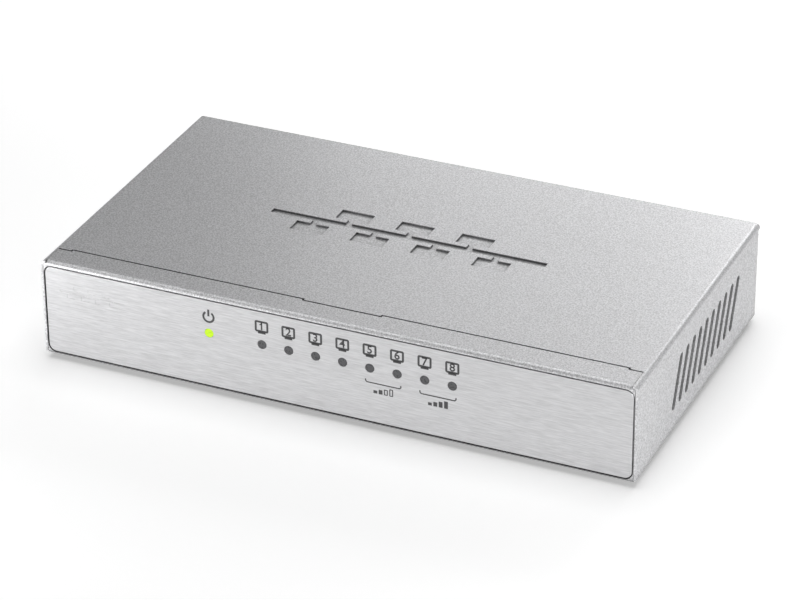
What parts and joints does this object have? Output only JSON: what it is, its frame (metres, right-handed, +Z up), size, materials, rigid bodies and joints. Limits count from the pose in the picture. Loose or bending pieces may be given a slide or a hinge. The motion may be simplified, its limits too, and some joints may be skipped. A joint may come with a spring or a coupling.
{
  "type": "desktop network switch",
  "caption": "Low silver metal desktop network switch with a brushed front plate, status lights, slanted side vents and rear modular jacks.",
  "frame": {"origin": "under the middle of the case, on the surface that the feet stand on", "axes": "+X to the right seen from the front, front plate faces -Y, jacks face +Y, +Z up"},
  "size_m": [0.158, 0.088, 0.028],
  "materials": {
    "painted_steel": "fine metallic silver paint, satin",
    "brushed_plate": "fine horizontal brushing, satin",
    "smoked_lens": "smoked clear moulding",
    "lit_lens": "lit yellow-green",
    "light_package": "clear cap on white package",
    "board": "green solder mask",
    "zinc": "zinc plated",
    "rubber": "matt black",
    "jack_plastic": "moulded black plastic",
    "tin_plate": "bright tin plate",
    "gold_contact": "gold flash",
    "package": "black moulded package",
    "fin_metal": "anodised",
    "capacitor_sleeve": "dark sleeve"
  },
  "bodies": {
    "case": {"top_cover": "painted_steel", "base_chassis": "painted_steel", "front_plate": "brushed_plate", "port_light_pipes": "smoked_lens", "power_light_pipe": "lit_lens", "port_lights": "light_package", "power_light": "light_package", "main_board": "board", "standoffs": "zinc", "board_screws": "zinc", "cover_screws": "zinc", "rubber_feet": "rubber", "jack_housing": "jack_plastic", "jack_shield": "tin_plate", "contact_leads": "gold_contact", "power_inlet": "jack_plastic", "power_inlet_pin": "zinc", "switch_chip": "package", "flash_memory": "package", "voltage_regulator": "package", "crystal": "zinc", "heat_sink": "fin_metal", "magnetics": "package", "capacitors": "capacitor_sleeve", "inductors": "package"},
    "port_1_spring": {"port_1_contacts": "gold_contact"},
    "port_2_spring": {"port_2_contacts": "gold_contact"},
    "port_3_spring": {"port_3_contacts": "gold_contact"},
    "port_4_spring": {"port_4_contacts": "gold_contact"},
    "port_5_spring": {"port_5_contacts": "gold_contact"},
    "port_6_spring": {"port_6_contacts": "gold_contact"},
    "port_7_spring": {"port_7_contacts": "gold_contact"},
    "port_8_spring": {"port_8_contacts": "gold_contact"},
    "power_inlet_spring": {"power_inlet_leaf": "gold_contact"}
  },
  "joints": [
    {"name": "port_1_contact_flex", "type": "hinge", "parent": "case", "child": "port_1_spring", "pos_m": [-0.037, 0.04042, 0.01068], "axis": [1, 0, 0], "range_deg": [0, 10], "stiffness_Nm_per_rad": 0.2, "springref_deg": -1.15},
    {"name": "port_2_contact_flex", "type": "hinge", "parent": "case", "child": "port_2_spring", "pos_m": [-0.023, 0.04042, 0.01068], "axis": [1, 0, 0], "range_deg": [0, 10], "stiffness_Nm_per_rad": 0.2, "springref_deg": -1.15},
    {"name": "port_3_contact_flex", "type": "hinge", "parent": "case", "child": "port_3_spring", "pos_m": [-0.009, 0.04042, 0.01068], "axis": [1, 0, 0], "range_deg": [0, 10], "stiffness_Nm_per_rad": 0.2, "springref_deg": -1.15},
    {"name": "port_4_contact_flex", "type": "hinge", "parent": "case", "child": "port_4_spring", "pos_m": [0.005, 0.04042, 0.01068], "axis": [1, 0, 0], "range_deg": [0, 10], "stiffness_Nm_per_rad": 0.2, "springref_deg": -1.15},
    {"name": "port_5_contact_flex", "type": "hinge", "parent": "case", "child": "port_5_spring", "pos_m": [0.019, 0.04042, 0.01068], "axis": [1, 0, 0], "range_deg": [0, 10], "stiffness_Nm_per_rad": 0.2, "springref_deg": -1.15},
    {"name": "port_6_contact_flex", "type": "hinge", "parent": "case", "child": "port_6_spring", "pos_m": [0.033, 0.04042, 0.01068], "axis": [1, 0, 0], "range_deg": [0, 10], "stiffness_Nm_per_rad": 0.2, "springref_deg": -1.15},
    {"name": "port_7_contact_flex", "type": "hinge", "parent": "case", "child": "port_7_spring", "pos_m": [0.047, 0.04042, 0.01068], "axis": [1, 0, 0], "range_deg": [0, 10], "stiffness_Nm_per_rad": 0.2, "springref_deg": -1.15},
    {"name": "port_8_contact_flex", "type": "hinge", "parent": "case", "child": "port_8_spring", "pos_m": [0.061, 0.04042, 0.01068], "axis": [1, 0, 0], "range_deg": [0, 10], "stiffness_Nm_per_rad": 0.2, "springref_deg": -1.15},
    {"name": "power_inlet_leaf_flex", "type": "hinge", "parent": "case", "child": "power_inlet_spring", "pos_m": [-0.05645, 0.0352, 0.0152], "axis": [0, 0, -1], "range_deg": [0, 4.5], "stiffness_Nm_per_rad": 0.2, "springref_deg": -1.15}
  ]
}
